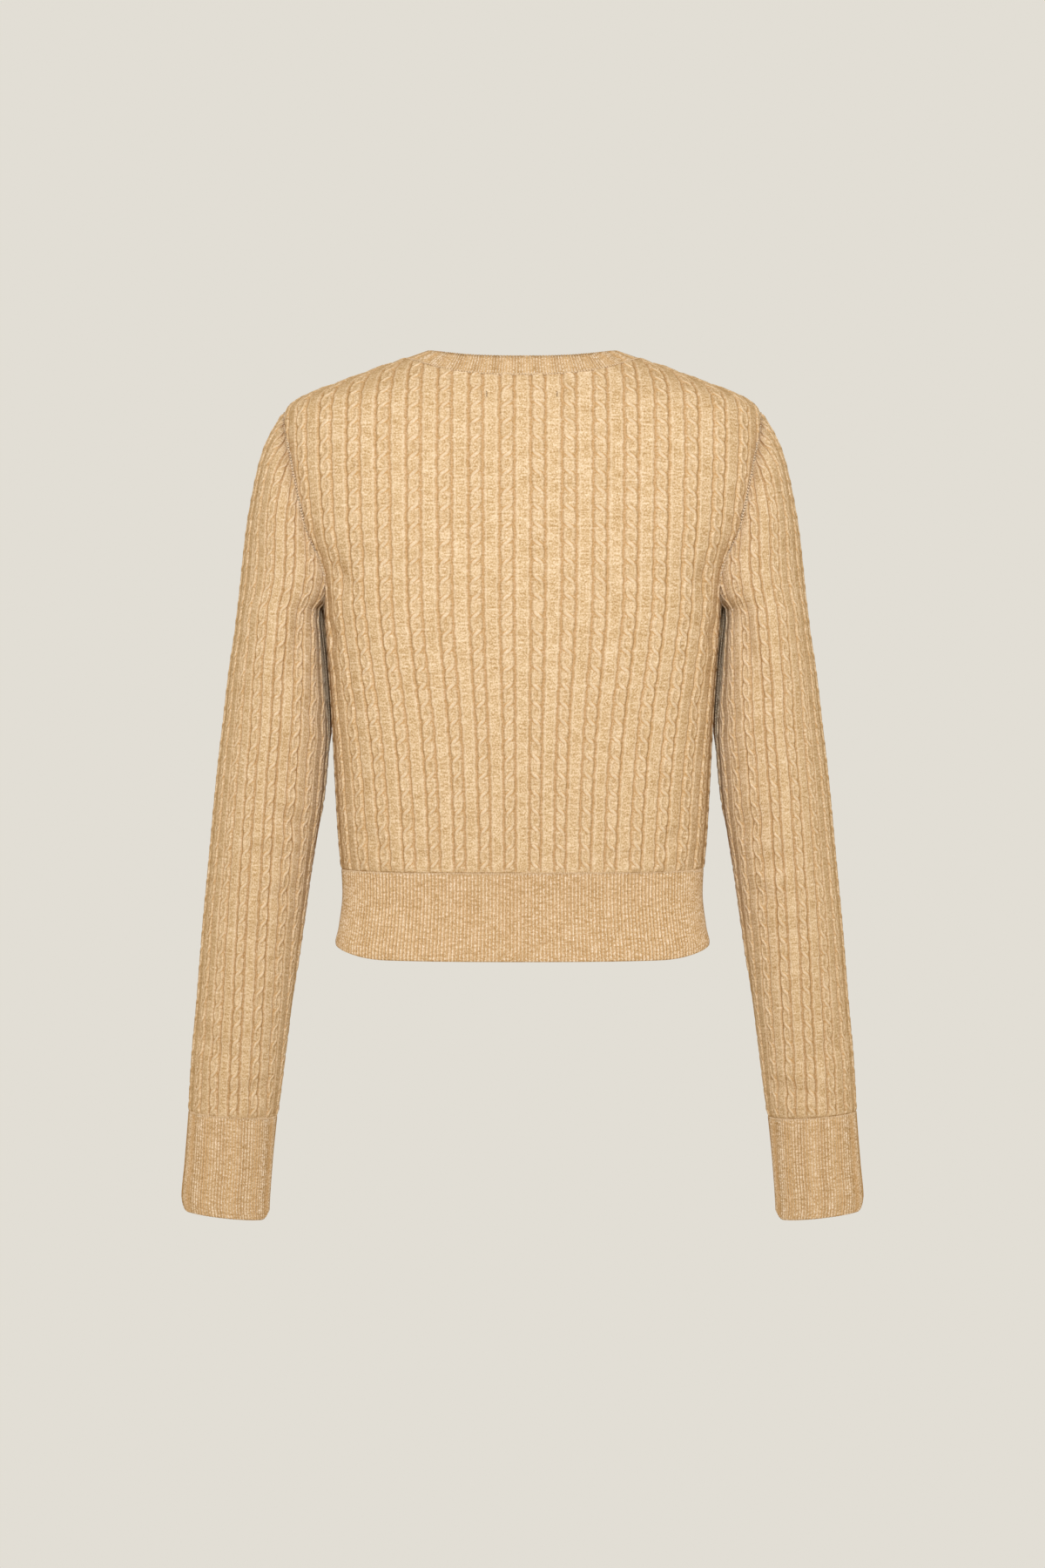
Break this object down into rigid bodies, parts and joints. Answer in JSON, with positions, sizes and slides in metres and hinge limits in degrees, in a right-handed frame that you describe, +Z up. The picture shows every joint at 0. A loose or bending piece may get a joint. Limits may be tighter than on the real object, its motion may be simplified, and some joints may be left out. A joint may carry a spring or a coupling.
{
  "type": "cropped cable cardigan",
  "caption": "Cropped long-sleeved cable-knit cardigan, filled out as worn, with a round neck, a buttoned front and ribbed hem, cuffs and neckband.",
  "frame": {"origin": "on the centre plane at the height of the shoulder line, where the garment hangs on a wearer or hanger", "axes": "+Z up, +X towards the wearer's left, +Y towards the back; the buttons face -Y"},
  "size_m": [0.5038, 0.215, 0.6358],
  "materials": {
    "knit": "soft heathered cable knit",
    "rib": "soft heathered rib knit",
    "button": "satin"
  },
  "bodies": {
    "root": {"back": "knit", "front_left": "knit", "front_right": "knit", "hem_rib_back": "rib", "hem_rib_front_left": "rib", "hem_rib_front_right": "rib", "sleeve_left": "knit", "sleeve_right": "knit", "cuff_left": "rib", "cuff_right": "rib", "neckband": "rib", "band_left": "rib", "band_right": "rib", "button_1": "button", "button_2": "button", "button_3": "button", "button_4": "button", "button_5": "button", "button_6": "button", "button_7": "button"}
  },
  "joints": []
}
